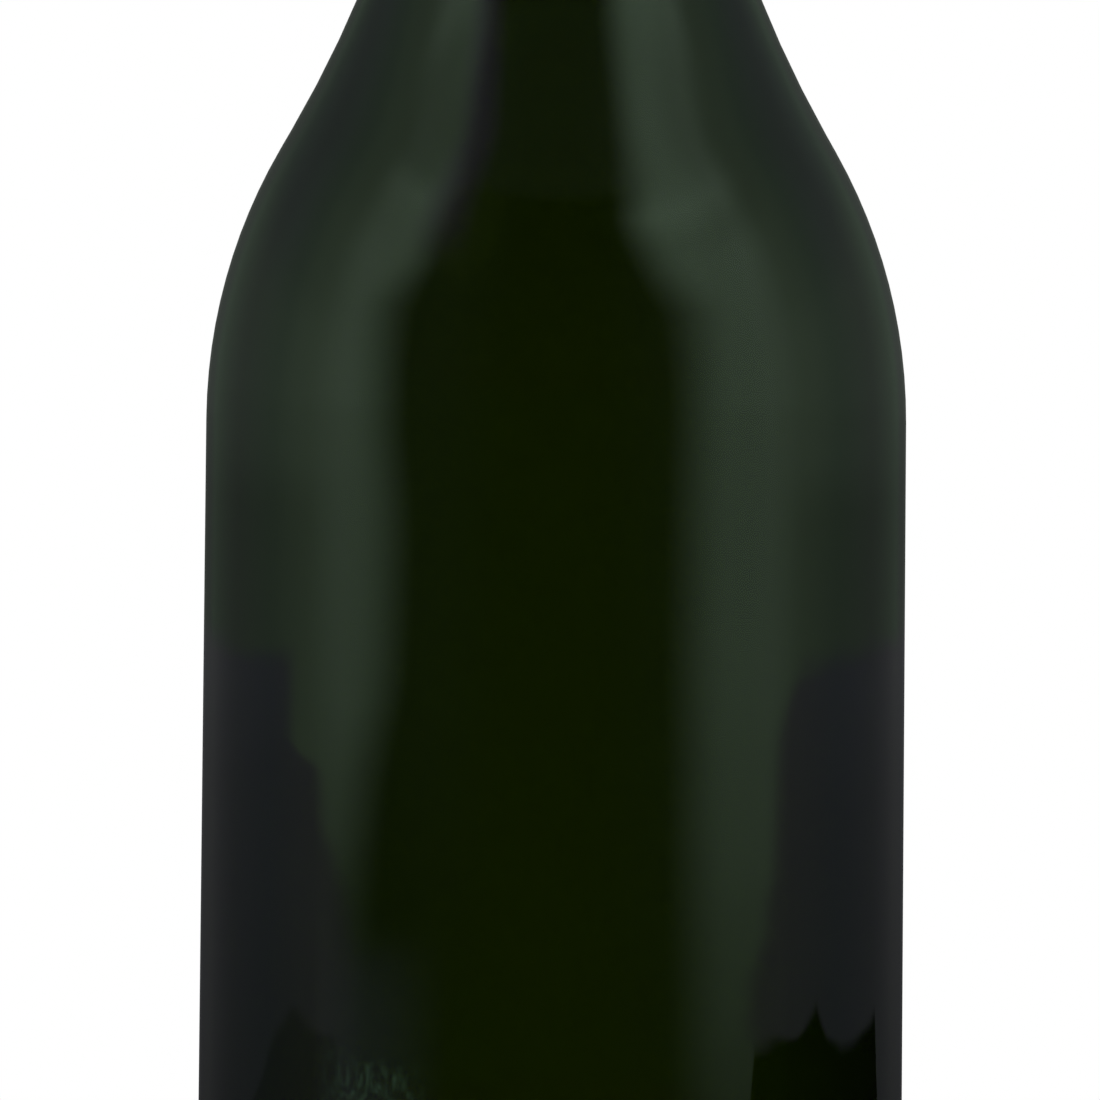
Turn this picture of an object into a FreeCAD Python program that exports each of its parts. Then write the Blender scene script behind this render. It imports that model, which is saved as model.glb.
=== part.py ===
import FreeCAD, Part
import math
import os

import Sketcher

# A full, shut sparkling wine bottle as it leaves the corking line, with no label and no foil.
# +Z is up, the axis of the bottle is the Z axis, and the origin is the centre of its foot. Millimetres.
#   glass      the bottle: foot ring, punt, body, shoulder, neck, locking ring and lip, with its cavity
#   wine       what fills the cavity up to the fill level
#   cork       the shank held in the bore and the mushroom head on the lip
#   cap_plate  the stamped disc on the cork
#   wire_cage  belt wire, four legs, top ring and the twist key

OUT = "parts"
ORIGIN = -1  # the sketch origin's geometry number
START, END, CENTRE = 1, 2, 3  # the points of a line or arc
UP = FreeCAD.Vector(0, 0, 1)
KEY_AZIMUTH = -90.0  # the twist key lies towards -Y
LEG_AZIMUTH = 45.0  # the first leg, between +X and +Y

SIZES = {
    # Glass, outside
    "total_height": 300.0,
    "body_radius": 44.2,
    "foot_swell": 0.3,
    "heel_arc": 8.0,
    "shoulder_rise": 109.7,
    "shoulder_arc": 69.0,
    "slope_length": 2.9,
    "neck_length": 57.0,
    "neck_radius": 14.3,
    # Locking ring and lip
    "ring_drop": 16.0,
    "ring_radius": 17.0,
    "ring_rise": 7.0,
    "ring_slope": 1.5,
    "ring_round": 1.3,
    "groove_radius": 13.5,
    "groove_rise": 1.2,
    "bead_radius": 14.6,
    "bead_slope": 0.8,
    "lip_round": 2.2,
    # Punt and foot
    "punt_depth": 36.0,
    "punt_arc": 13.0,
    "punt_angle": 35.0,
    "punt_round": 2.5,
    # Walls and bore
    "body_wall": 4.1,
    "neck_wall": 4.4,
    "base_wall": 8.3,
    "valley_arc": 9.0,
    "bore_radius": 8.9,
    "bore_length": 30.0,
    "bore_round": 0.8,
    # Wine
    "fill_drop": 79.8,
    # Cork
    "cork_depth": 24.0,
    "cork_seat": 12.2,
    "cork_head_radius": 15.2,
    "cork_head_rise": 22.0,
    "cork_flare": 6.0,
    "cork_round": 3.0,
    # Cap plate
    "plate_sheet": 0.35,
    "plate_dome_rise": 1.1,
    "plate_step": 0.6,
    "plate_land": 2.6,
    "plate_hem": 2.2,
    "plate_skirt": 2.2,
    "plate_reach": 0.8,
    # Wire cage
    "wire_radius": 0.55,
    "leg_radius": 0.9,
    "leg_count": 4,
    "leg_slant": 2.4,
    "wire_bend": 1.6,
    "belt_drop": 3.2,
    "wire_gap": 0.1,
    "key_radius": 0.95,
    "key_stem": 12.0,
    "key_eye_radius": 3.0,
    "key_eye_rise": 7.0,
}

# Sizes that follow from those above. Each is one cell with a formula, so that both sides of a fit read it.
# The neck arc is the one that leaves a straight slope of the named length between it and the shoulder arc.
DERIVED = {
    "foot_radius": "body_radius + foot_swell",
    "neck_foot_height": "total_height - neck_length",
    "shoulder_height": "neck_foot_height - shoulder_rise",
    "body_lean": "foot_swell / (shoulder_height - heel_arc)",
    "body_less_neck": "body_radius - neck_radius",
    "arc_rise": "shoulder_rise + shoulder_arc * body_lean",
    "arc_sum": "(body_less_neck ^ 2 + arc_rise ^ 2 - slope_length ^ 2) / (2 * body_less_neck)",
    "neck_arc": "arc_sum - shoulder_arc",
    "ring_foot_height": "total_height - ring_drop",
    "neck_top_height": "ring_foot_height - ring_slope",
    "ring_top_height": "ring_foot_height + ring_rise",
    "groove_height": "ring_top_height + ring_slope",
    "bead_foot_height": "groove_height + groove_rise",
    "bead_height": "bead_foot_height + bead_slope",
    "inner_foot_radius": "foot_radius - body_wall",
    "inner_body_radius": "body_radius - body_wall",
    "inner_neck_radius": "neck_radius - neck_wall",
    "inner_shoulder_arc": "shoulder_arc - body_wall",
    "inner_less_neck": "inner_body_radius - inner_neck_radius",
    "inner_rise": "shoulder_rise + inner_shoulder_arc * body_lean",
    "inner_sum": "(inner_less_neck ^ 2 + inner_rise ^ 2 - slope_length ^ 2) / (2 * inner_less_neck)",
    "inner_neck_arc": "inner_sum - inner_shoulder_arc",
    "inner_punt_arc": "punt_arc + base_wall",
    "inner_punt_height": "punt_depth + base_wall",
    "fill_height": "total_height - fill_drop",
    "bore_foot_height": "total_height - bore_length",
    "bore_taper": "(inner_neck_radius - bore_radius) / bore_length",
    "cork_foot_height": "total_height - cork_depth",
    "cork_foot_radius": "bore_radius + bore_taper * cork_depth",
    "cork_top_height": "total_height + cork_head_rise",
    "plate_radius": "cork_head_radius + plate_reach",
    "plate_land_end": "plate_radius - plate_hem",
    "plate_land_start": "plate_land_end - plate_land",
    "plate_dome_radius": "plate_land_start - plate_step",
    "plate_top_height": "cork_top_height + plate_sheet",
    "belt_height": "ring_foot_height - belt_drop",
    "belt_radius": "neck_radius + wire_radius + wire_gap",
    "top_ring_radius": "plate_land_start + plate_land / 2 + wire_gap",
    "top_ring_height": "plate_top_height + wire_radius + wire_gap",
    "leg_low_radius": "max(ring_radius; cork_head_radius) + leg_radius + wire_gap",
    "leg_high_radius": "plate_radius + plate_sheet + leg_radius + wire_gap",
    "leg_top_radius": "leg_high_radius - leg_slant",
    "leg_top_height": "plate_top_height + leg_radius + wire_gap",
    "leg_slant_height": "leg_top_height - leg_slant",
    "key_reach": "max(ring_radius; cork_head_radius) + key_radius + wire_gap",
    "key_foot_height": "belt_height + key_stem",
    "key_eye_low": "key_foot_height + key_eye_radius",
    "key_eye_high": "key_eye_low + key_eye_rise",
}


def make_sheet(doc):
    """The spreadsheet with every driving size and every size worked out from them."""
    sheet = doc.addObject("Spreadsheet::Sheet", "Sizes")
    rows = list(SIZES.items()) + [(name, "=" + formula) for name, formula in DERIVED.items()]
    for row, (name, value) in enumerate(rows, start=1):
        sheet.set(f"A{row}", name)
        sheet.set(f"B{row}", str(value))
        sheet.setAlias(f"B{row}", name)
    doc.recompute()
    return sheet


class Outline:
    """A sketch whose x is the distance from the axis and whose y is the height above the foot."""

    def __init__(self, body, name, sheet, turn=0.0, role="XZ_Plane", lift=None):
        self.sheet = sheet
        self.sketch = body.newObject("Sketcher::SketchObject", name)
        plane = next(f for f in body.Origin.OriginFeatures if f.Role == role)
        self.sketch.AttachmentSupport = [(plane, "")]
        self.sketch.MapMode = "FlatFace"
        self.sketch.AttachmentOffset = FreeCAD.Placement(
            FreeCAD.Vector(0, 0, 0), FreeCAD.Rotation(FreeCAD.Vector(0, 1, 0), turn)
        )
        if lift:
            self.sketch.setExpression("AttachmentOffset.Base.z", f"Sizes.{lift}")

    def value(self, name):
        return float(getattr(self.sheet, name))

    def line(self, start, end):
        a, b = (FreeCAD.Vector(x, y, 0) for x, y in (start, end))
        return self.sketch.addGeometry(Part.LineSegment(a, b))

    def arc(self, centre, radius, first, last):
        """An arc anticlockwise from one angle to the other, in radians."""
        circle = Part.Circle(FreeCAD.Vector(*centre, 0), UP, radius)
        return self.sketch.addGeometry(Part.ArcOfCircle(circle, first, last))

    def circle(self, centre, radius):
        return self.sketch.addGeometry(Part.Circle(FreeCAD.Vector(*centre, 0), UP, radius))

    def add(self, kind, *where):
        return self.sketch.addConstraint(Sketcher.Constraint(kind, *where))

    def join(self, first, first_end, second, second_end):
        self.add("Coincident", first, first_end, second, second_end)

    def smooth(self, first, first_end, second, second_end):
        self.add("Tangent", first, first_end, second, second_end)

    def bind(self, kind, where, name):
        """A dimension that reads its size from the sheet."""
        value = math.radians(self.value(name)) if kind == "Angle" else self.value(name)
        number = self.add(kind, *where, value)
        unit = " * 1 deg" if kind == "Angle" else ""
        self.sketch.setExpression(f"Constraints[{number}]", f"Sizes.{name}{unit}")

    def place(self, geometry, end, radius=None, height=None):
        """Holds a point at a named distance from the axis, a named height, or both."""
        if radius:
            self.bind("DistanceX", (ORIGIN, START, geometry, end), radius)
        if height:
            self.bind("DistanceY", (ORIGIN, START, geometry, end), height)

    def on_axis(self, geometry, end):
        self.add("PointOnObject", geometry, end, -2)

    def polygon(self, corners):
        """Straight sides through corners given as (radius name, or None on the axis, and height name)."""
        points = [(self.value(radius) if radius else 0.0, self.value(height)) for radius, height in corners]
        sides = [self.line(a, b) for a, b in zip(points, points[1:] + points[:1])]
        for first, second in zip(sides, sides[1:] + sides[:1]):
            self.join(first, END, second, START)
        for side, (radius, height) in zip(sides, corners):
            self.place(side, START, radius=radius, height=height)
            if not radius:
                self.on_axis(side, START)

    def bent_line(self, corners, bend):
        """Straight runs whose corners, (radius name, height name), are all rounded by one named radius."""
        points = [FreeCAD.Vector(self.value(radius), self.value(height), 0) for radius, height in corners]
        size = self.value(bend)
        back = [(a - b).normalize() for a, b in zip(points, points[1:])]
        angles = [math.pi - first.getAngle(second) for first, second in zip(back, back[1:])]
        cuts = [0.0] + [size / math.tan(angle / 2) for angle in angles] + [0.0]
        runs = [
            self.line((a - way * first)[:2], (b + way * last)[:2])
            for a, b, way, first, last in zip(points, points[1:], back, cuts, cuts[1:])
        ]
        self.place(runs[0], START, *corners[0])
        self.place(runs[-1], END, *corners[-1])
        for number, (before, after) in enumerate(zip(back, back[1:]), start=1):
            corner, incoming, outgoing = points[number], runs[number - 1], runs[number]
            start, end = corner + before * cuts[number], corner - after * cuts[number]
            middle = (before - after).normalize()
            centre = corner + middle * (size / math.sin(angles[number - 1] / 2))
            turns_left = before.cross(after).z > 0
            first, last = (start, end) if turns_left else (end, start)
            low = math.atan2(first.y - centre.y, first.x - centre.x)
            high = math.atan2(last.y - centre.y, last.x - centre.x)
            bow = self.arc((centre.x, centre.y), size, low, high if high > low else high + 2 * math.pi)
            self.smooth(incoming, END, bow, START if turns_left else END)
            self.smooth(bow, END if turns_left else START, outgoing, START)
            self.bind("Radius", (bow,), bend)
            mark = self.sketch.addGeometry(Part.Point(corner), True)
            self.place(mark, START, *corners[number])
            self.add("PointOnObject", mark, START, incoming)
            self.add("PointOnObject", mark, START, outgoing)


def tangent_turn(low, low_radius, high, high_radius):
    """The angle of the radius at which one straight line leaves the low circle and meets the high one."""
    across, up = high[0] - low[0], high[1] - low[1]
    share = (low_radius + high_radius) / math.hypot(across, up)
    return math.atan2(up, across) - math.acos(min(share, 1.0))


def bottle_side(outline, names, first):
    """The side from the foot of the body to the neck: body line, shoulder arc, slope, neck arc, neck line.

    names gives the sheet's words for the inside or the outside, and first is the lower end of the body line.
    Returns the body line and the neck line.
    """
    o = outline
    body, neck = o.value(names["body"]), o.value(names["neck"])
    shoulder_arc, neck_arc = o.value(names["shoulder_arc"]), o.value(names["neck_arc"])
    shoulder_height = o.value("shoulder_height")
    lean = math.atan2(first[0] - body, shoulder_height - first[1])
    low = (body - shoulder_arc * math.cos(lean), shoulder_height - shoulder_arc * math.sin(lean))
    high = (neck + neck_arc, o.value("neck_foot_height"))
    turn = tangent_turn(low, shoulder_arc, high, neck_arc)
    step = (math.cos(turn), math.sin(turn))
    leave = (low[0] + shoulder_arc * step[0], low[1] + shoulder_arc * step[1])
    meet = (high[0] - neck_arc * step[0], high[1] - neck_arc * step[1])

    wall = o.line(first, (body, shoulder_height))
    shoulder = o.arc(low, shoulder_arc, lean, turn)
    slope = o.line(leave, meet)
    hollow = o.arc(high, neck_arc, math.pi, math.pi + turn)
    throat = o.line((neck, high[1]), (neck, o.value(names["top_height"])))
    o.smooth(wall, END, shoulder, START)
    o.smooth(shoulder, END, slope, START)
    o.smooth(slope, END, hollow, END)
    o.smooth(hollow, START, throat, START)
    o.add("Vertical", throat)
    o.bind("Radius", (shoulder,), names["shoulder_arc"])
    o.bind("Radius", (hollow,), names["neck_arc"])
    o.place(wall, START, radius=names["foot"])
    o.place(wall, END, radius=names["body"], height="shoulder_height")
    o.place(throat, START, radius=names["neck"], height="neck_foot_height")
    o.place(throat, END, height=names["top_height"])
    return wall, throat


OUTSIDE = {
    "foot": "foot_radius",
    "body": "body_radius",
    "shoulder_arc": "shoulder_arc",
    "neck_arc": "neck_arc",
    "neck": "neck_radius",
    "top_height": "neck_top_height",
}
INSIDE = {
    "foot": "inner_foot_radius",
    "body": "inner_body_radius",
    "shoulder_arc": "inner_shoulder_arc",
    "neck_arc": "inner_neck_arc",
    "neck": "inner_neck_radius",
    "top_height": "bore_foot_height",
}


def turned(body, outline, name, cut=False):
    """Turns an outline round the axis, adding to the body or cutting it."""
    feature = body.newObject("PartDesign::Groove" if cut else "PartDesign::Revolution", name)
    feature.Profile = outline.sketch
    feature.ReferenceAxis = (outline.sketch, ["V_Axis"])
    feature.Angle = 360
    outline.sketch.Visibility = False
    return feature


def outside_outline(body, sheet):
    """The solid outside of the bottle, from the foot to just under the locking ring."""
    o = Outline(body, "OutsideOutline", sheet)
    foot, heel = o.value("foot_radius"), o.value("heel_arc")
    top = (o.value("neck_radius"), o.value("neck_top_height"))
    base = o.line((0, 0), (foot - heel, 0))
    bend = o.arc((foot - heel, heel), heel, -math.pi / 2, 0)
    wall, throat = bottle_side(o, OUTSIDE, (foot, heel))
    lid = o.line(top, (0, top[1]))
    axis = o.line((0, top[1]), (0, 0))
    o.smooth(base, END, bend, START)
    o.smooth(bend, END, wall, START)
    o.join(throat, END, lid, START)
    o.join(lid, END, axis, START)
    o.join(axis, END, base, START)
    o.join(base, START, ORIGIN, START)
    o.add("Horizontal", base)
    o.add("Horizontal", lid)
    o.add("Vertical", axis)
    o.bind("Radius", (bend,), "heel_arc")
    return o


def cavity_outline(body, sheet, name):
    """The inside of the bottle, from the dome over the punt to the mouth."""
    o = Outline(body, name, sheet)
    dome, apex = o.value("inner_punt_arc"), o.value("inner_punt_height")
    slope, valley = math.radians(o.value("punt_angle")), o.value("valley_arc")
    normal = (math.cos(slope), math.sin(slope))
    dome_centre = (0.0, apex - dome)
    leave = (dome * normal[0], dome_centre[1] + dome * normal[1])
    valley_x = o.value("inner_foot_radius") - valley
    valley_y = leave[1] + (valley - (valley_x - leave[0]) * normal[0]) / normal[1]
    reach = (valley_x - valley * normal[0], valley_y - valley * normal[1])
    mouth = (o.value("bore_radius"), o.value("total_height"))

    crown = o.arc(dome_centre, dome, slope, math.pi / 2)
    flank = o.line(leave, reach)
    bend = o.arc((valley_x, valley_y), valley, math.pi + slope, 2 * math.pi)
    wall, throat = bottle_side(o, INSIDE, (valley_x + valley, valley_y))
    bore = o.line((o.value("inner_neck_radius"), o.value("bore_foot_height")), mouth)
    lid = o.line(mouth, (0, mouth[1]))
    axis = o.line((0, mouth[1]), (0, apex))
    o.smooth(crown, START, flank, START)
    o.smooth(flank, END, bend, START)
    o.smooth(bend, END, wall, START)
    o.join(throat, END, bore, START)
    o.join(bore, END, lid, START)
    o.join(lid, END, axis, START)
    o.join(axis, END, crown, END)
    o.place(bore, END, radius="bore_radius", height="total_height")
    o.add("Horizontal", lid)
    o.on_axis(axis, START)
    o.on_axis(crown, CENTRE)
    o.on_axis(crown, END)
    o.bind("Radius", (crown,), "inner_punt_arc")
    o.bind("Radius", (bend,), "valley_arc")
    o.place(crown, END, height="inner_punt_height")
    o.bind("Angle", (-2, START, flank, END), "punt_angle")
    return o


def punt_flank(sheet):
    """Where the punt's cone leaves its round top, and the radius at which it would meet the floor."""
    dome, slope = float(sheet.punt_arc), math.radians(float(sheet.punt_angle))
    top = (dome * math.cos(slope), float(sheet.punt_depth) - dome + dome * math.sin(slope))
    return top, top[0] + top[1] * math.tan(slope)


def punt_outline(body, sheet):
    """The hollow under the bottle: a cone with a round top."""
    o = Outline(body, "PuntOutline", sheet)
    dome, apex = o.value("punt_arc"), o.value("punt_depth")
    slope = math.radians(o.value("punt_angle"))
    leave, rim = punt_flank(sheet)
    crown = o.arc((0, apex - dome), dome, slope, math.pi / 2)
    flank = o.line(leave, (rim, 0))
    floor = o.line((rim, 0), (0, 0))
    axis = o.line((0, 0), (0, apex))
    o.smooth(crown, START, flank, START)
    o.join(flank, END, floor, START)
    o.join(floor, END, axis, START)
    o.join(axis, END, crown, END)
    o.join(floor, END, ORIGIN, START)
    o.add("Horizontal", floor)
    o.on_axis(crown, CENTRE)
    o.on_axis(crown, END)
    o.bind("Radius", (crown,), "punt_arc")
    o.place(crown, END, height="punt_depth")
    o.bind("Angle", (-2, START, flank, END), "punt_angle")
    return o


def rims(feature, wanted):
    """The names of the round edges of a feature that lie at the given radii and heights."""
    found = []
    for radius, height in wanted:
        near = [
            number
            for number, edge in enumerate(feature.Shape.Edges, start=1)
            if not edge.Degenerated
            and isinstance(edge.Curve, Part.Circle)
            and abs(edge.Curve.Radius - radius) < 1e-3
            and abs(edge.Curve.Center.z - height) < 1e-3
        ]
        if not near:
            raise RuntimeError(f"no round edge at radius {radius} and height {height}")
        found.append(f"Edge{near[0]}")
    return found


def rounded(body, name, base, wanted, size):
    """Rounds the edges at the given radii and heights by the named size."""
    fillet = body.newObject("PartDesign::Fillet", name)
    fillet.Base = (base, rims(base, wanted))
    fillet.setExpression("Radius", f"Sizes.{size}")
    fillet.Document.recompute()
    return fillet


def make_glass(doc, sheet):
    body = doc.addObject("PartDesign::Body", "Glass")
    turned(body, outside_outline(body, sheet), "Outside")
    finish = Outline(body, "FinishOutline", sheet)
    finish.polygon(
        [
            (None, "neck_top_height"),
            ("neck_radius", "neck_top_height"),
            ("ring_radius", "ring_foot_height"),
            ("ring_radius", "ring_top_height"),
            ("groove_radius", "groove_height"),
            ("groove_radius", "bead_foot_height"),
            ("bead_radius", "bead_height"),
            ("bead_radius", "total_height"),
            (None, "total_height"),
        ]
    )
    turned(body, finish, "Finish")
    turned(body, cavity_outline(body, sheet, "CavityOutline"), "Cavity", cut=True)
    punt = turned(body, punt_outline(body, sheet), "Punt", cut=True)
    doc.recompute()

    size = finish.value
    punt_rim = punt_flank(sheet)[1]
    ring = [(size("ring_radius"), size(h)) for h in ("ring_foot_height", "ring_top_height")]
    lip = [(size("bead_radius"), size("total_height"))]
    mouth = [(size("bore_radius"), size("total_height"))]
    foot = rounded(body, "FootRound", punt, [(punt_rim, 0.0)], "punt_round")
    rings = rounded(body, "RingRound", foot, ring, "ring_round")
    lips = rounded(body, "LipRound", rings, lip, "lip_round")
    rounded(body, "BoreRound", lips, mouth, "bore_round")
    return body


def make_wine(doc, sheet):
    body = doc.addObject("PartDesign::Body", "Wine")
    turned(body, cavity_outline(body, sheet, "WineOutline"), "Filled")
    headspace = Outline(body, "HeadspaceOutline", sheet)
    headspace.polygon(
        [
            (None, "fill_height"),
            ("foot_radius", "fill_height"),
            ("foot_radius", "cork_top_height"),
            (None, "cork_top_height"),
        ]
    )
    turned(body, headspace, "Headspace", cut=True)
    return body


def make_cork(doc, sheet):
    body = doc.addObject("PartDesign::Body", "Cork")
    o = Outline(body, "CorkOutline", sheet)
    seat, head = o.value("cork_seat"), o.value("cork_head_radius")
    lip, top = o.value("total_height"), o.value("cork_top_height")
    flare, round_ = o.value("cork_flare"), o.value("cork_round")
    foot = (o.value("cork_foot_radius"), o.value("cork_foot_height"))
    bore = o.value("bore_radius")
    # The flare is one arc from the seat on the lip, which it leaves at an angle, to the side of the head.
    across = head - seat
    flare_radius = (across**2 + flare**2) / (2 * across)
    flare_turn = math.asin(flare / flare_radius)
    base = o.line((0, foot[1]), foot)
    shank = o.line(foot, (bore, lip))
    shelf = o.line((bore, lip), (seat, lip))
    under = o.arc((head - flare_radius, lip + flare), flare_radius, -flare_turn, 0)
    side = o.line((head, lip + flare), (head, top - round_))
    edge = o.arc((head - round_, top - round_), round_, 0, math.pi / 2)
    lid = o.line((head - round_, top), (0, top))
    axis = o.line((0, top), (0, foot[1]))
    o.join(base, END, shank, START)
    o.join(shank, END, shelf, START)
    o.join(shelf, END, under, START)
    o.smooth(under, END, side, START)
    o.smooth(side, END, edge, START)
    o.smooth(edge, END, lid, START)
    o.join(lid, END, axis, START)
    o.join(axis, END, base, START)
    for flat in (base, shelf, lid):
        o.add("Horizontal", flat)
    o.add("Vertical", side)
    o.on_axis(axis, START)
    o.on_axis(axis, END)
    o.place(shank, START, radius="cork_foot_radius", height="cork_foot_height")
    o.place(shank, END, radius="bore_radius", height="total_height")
    o.place(shelf, END, radius="cork_seat")
    o.place(side, START, radius="cork_head_radius")
    o.bind("DistanceY", (shelf, END, side, START), "cork_flare")
    o.bind("Radius", (edge,), "cork_round")
    o.place(lid, END, height="cork_top_height")
    turned(body, o, "Stopper")
    return body


def make_cap_plate(doc, sheet):
    """A disc of one sheet thickness: raised middle, flat land for the wire, and a skirt that leans out."""
    body = doc.addObject("PartDesign::Body", "CapPlate")
    o = Outline(body, "PlateOutline", sheet)
    thick, low, rise = o.value("plate_sheet"), o.value("cork_top_height"), o.value("plate_dome_rise")
    dome, start, end = (o.value(n) for n in ("plate_dome_radius", "plate_land_start", "plate_land_end"))
    rim, drop = o.value("plate_radius"), o.value("plate_skirt")
    lean = math.atan2(drop, rim - end)
    riser_shift = thick * math.tan(math.atan2(rise, start - dome) / 2)
    land_shift = thick * math.tan(lean / 2)
    under = [(0.0, low + rise), (dome, low + rise), (start, low), (end, low), (rim, low - drop)]
    over = [
        (0.0, low + rise + thick),
        (dome + riser_shift, low + rise + thick),
        (start + riser_shift, low + thick),
        (end + land_shift, low + thick),
        (rim + thick * math.sin(lean), low - drop + thick * math.cos(lean)),
    ]
    corners = under + over[::-1]
    sides = [o.line(a, b) for a, b in zip(corners, corners[1:] + corners[:1])]
    for first, second in zip(sides, sides[1:] + sides[:1]):
        o.join(first, END, second, START)
    crown, riser, land, skirt, hem, skirt_top, land_top, riser_top, crown_top, axis = sides
    o.on_axis(axis, START)
    o.on_axis(axis, END)
    for flat in (crown, land, crown_top, land_top):
        o.add("Horizontal", flat)
    for first, second in ((riser, riser_top), (skirt, skirt_top)):
        o.add("Parallel", first, second)
    o.add("Perpendicular", skirt, hem)
    o.place(crown, END, radius="plate_dome_radius")
    o.place(land, START, radius="plate_land_start", height="cork_top_height")
    o.bind("DistanceY", (land, START, crown, END), "plate_dome_rise")
    o.place(land, END, radius="plate_land_end")
    o.place(skirt, END, radius="plate_radius")
    o.bind("DistanceY", (skirt, END, land, END), "plate_skirt")
    o.bind("DistanceY", (axis, END, axis, START), "plate_sheet")
    o.bind("DistanceY", (land, END, land_top, START), "plate_sheet")
    o.bind("Distance", (riser, START, riser_top), "plate_sheet")
    o.bind("Distance", (hem, START, hem, END), "plate_sheet")
    turned(body, o, "Plate")
    return body


def hoop(body, sheet, name, radius, height):
    """A ring of wire round the axis."""
    o = Outline(body, name + "Section", sheet)
    section = o.circle((o.value(radius), o.value(height)), o.value("wire_radius"))
    o.place(section, CENTRE, radius=radius, height=height)
    o.bind("Radius", (section,), "wire_radius")
    return turned(body, o, name)


def pipe(body, path, name, radius):
    """A round wire of the named radius along a path."""
    size = path.value(radius)
    section = body.newObject("Sketcher::SketchObject", name + "Section")
    section.AttachmentSupport = [(path.sketch, "Edge1")]
    section.MapMode = "NormalToEdge"
    section.addGeometry(Part.Circle(FreeCAD.Vector(0, 0, 0), UP, size))
    section.addConstraint(Sketcher.Constraint("Coincident", 0, CENTRE, ORIGIN, START))
    number = section.addConstraint(Sketcher.Constraint("Radius", 0, size))
    section.setExpression(f"Constraints[{number}]", f"Sizes.{radius}")
    feature = body.newObject("PartDesign::AdditivePipe", name)
    feature.Profile = section
    feature.Spine = (path.sketch, [])
    path.sketch.Visibility = section.Visibility = False
    return feature


def key_eye_path(body, sheet):
    """The closed loop at the end of the twist key, flat against the ring, in a plane that faces -Y."""
    o = Outline(body, "KeyEyePath", sheet, lift="key_reach")
    radius, low, high = (o.value(n) for n in ("key_eye_radius", "key_eye_low", "key_eye_high"))
    right = o.line((radius, low), (radius, high))
    over = o.arc((0, high), radius, 0, math.pi)
    left = o.line((-radius, high), (-radius, low))
    under = o.arc((0, low), radius, math.pi, 2 * math.pi)
    o.smooth(right, END, over, START)
    o.smooth(over, END, left, START)
    o.smooth(left, END, under, START)
    o.smooth(under, END, right, START)
    o.bind("Radius", (over,), "key_eye_radius")
    for curve, height in ((under, "key_eye_low"), (over, "key_eye_high")):
        o.on_axis(curve, CENTRE)
        o.place(curve, CENTRE, height=height)
    return o


def make_wire_cage(doc, sheet):
    body = doc.addObject("PartDesign::Body", "WireCage")
    hoop(body, sheet, "Belt", "belt_radius", "belt_height")
    hoop(body, sheet, "TopRing", "top_ring_radius", "top_ring_height")

    stem = Outline(body, "KeyStemPath", sheet, turn=KEY_AZIMUTH)
    stem.bent_line(
        [
            ("belt_radius", "belt_height"),
            ("key_reach", "belt_height"),
            ("key_reach", "key_foot_height"),
        ],
        "wire_bend",
    )
    doc.recompute()
    pipe(body, stem, "KeyStem", "key_radius")
    eye = key_eye_path(body, sheet)
    doc.recompute()
    pipe(body, eye, "KeyEye", "wire_radius")

    path = Outline(body, "LegPath", sheet, turn=LEG_AZIMUTH)
    path.bent_line(
        [
            ("belt_radius", "belt_height"),
            ("leg_low_radius", "belt_height"),
            ("leg_low_radius", "ring_top_height"),
            ("leg_high_radius", "leg_slant_height"),
            ("leg_top_radius", "leg_top_height"),
            ("top_ring_radius", "leg_top_height"),
        ],
        "wire_bend",
    )
    doc.recompute()
    leg = pipe(body, path, "Leg", "leg_radius")
    doc.recompute()
    legs = body.newObject("PartDesign::PolarPattern", "Legs")
    legs.Originals = [leg]
    legs.Axis = (next(f for f in body.Origin.OriginFeatures if f.Role == "Z_Axis"), [""])
    legs.Angle = 360
    legs.setExpression("Occurrences", "Sizes.leg_count")
    body.Tip = legs
    doc.recompute()
    return body


def check(doc):
    """Stops if any object of the document failed."""
    for item in doc.Objects:
        if "Invalid" in item.State or "Error" in item.State:
            raise RuntimeError(f"{item.Label} failed: {item.State}")


def main():
    doc = FreeCAD.newDocument("SparklingWineBottle")
    sheet = make_sheet(doc)
    parts = {
        "glass": make_glass(doc, sheet),
        "wine": make_wine(doc, sheet),
        "cork": make_cork(doc, sheet),
        "cap_plate": make_cap_plate(doc, sheet),
        "wire_cage": make_wire_cage(doc, sheet),
    }
    doc.recompute()
    check(doc)
    os.makedirs(OUT, exist_ok=True)
    for name, body in parts.items():
        body.Label = name
        shape = body.Shape
        if shape.isNull() or not shape.isValid() or len(shape.Solids) != 1:
            raise RuntimeError(f"{name} is not one valid solid")
        print(f"{name}: {shape.Volume / 1000:.2f} cm3, {len(shape.Faces)} faces")
        shape.exportStep(os.path.join(OUT, name + ".step"))


main()
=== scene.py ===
"""A full, corked and wired sparkling wine bottle of dark green glass, with no label, in a plain pale studio.

Metres, +Z up, the bottle's axis on the Z axis and its foot on the floor at z = 0. The twist key of the cage
faces -Y, where the camera is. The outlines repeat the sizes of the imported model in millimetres.
"""

import math

import bpy
from mathutils import Matrix, Vector, noise


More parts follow.
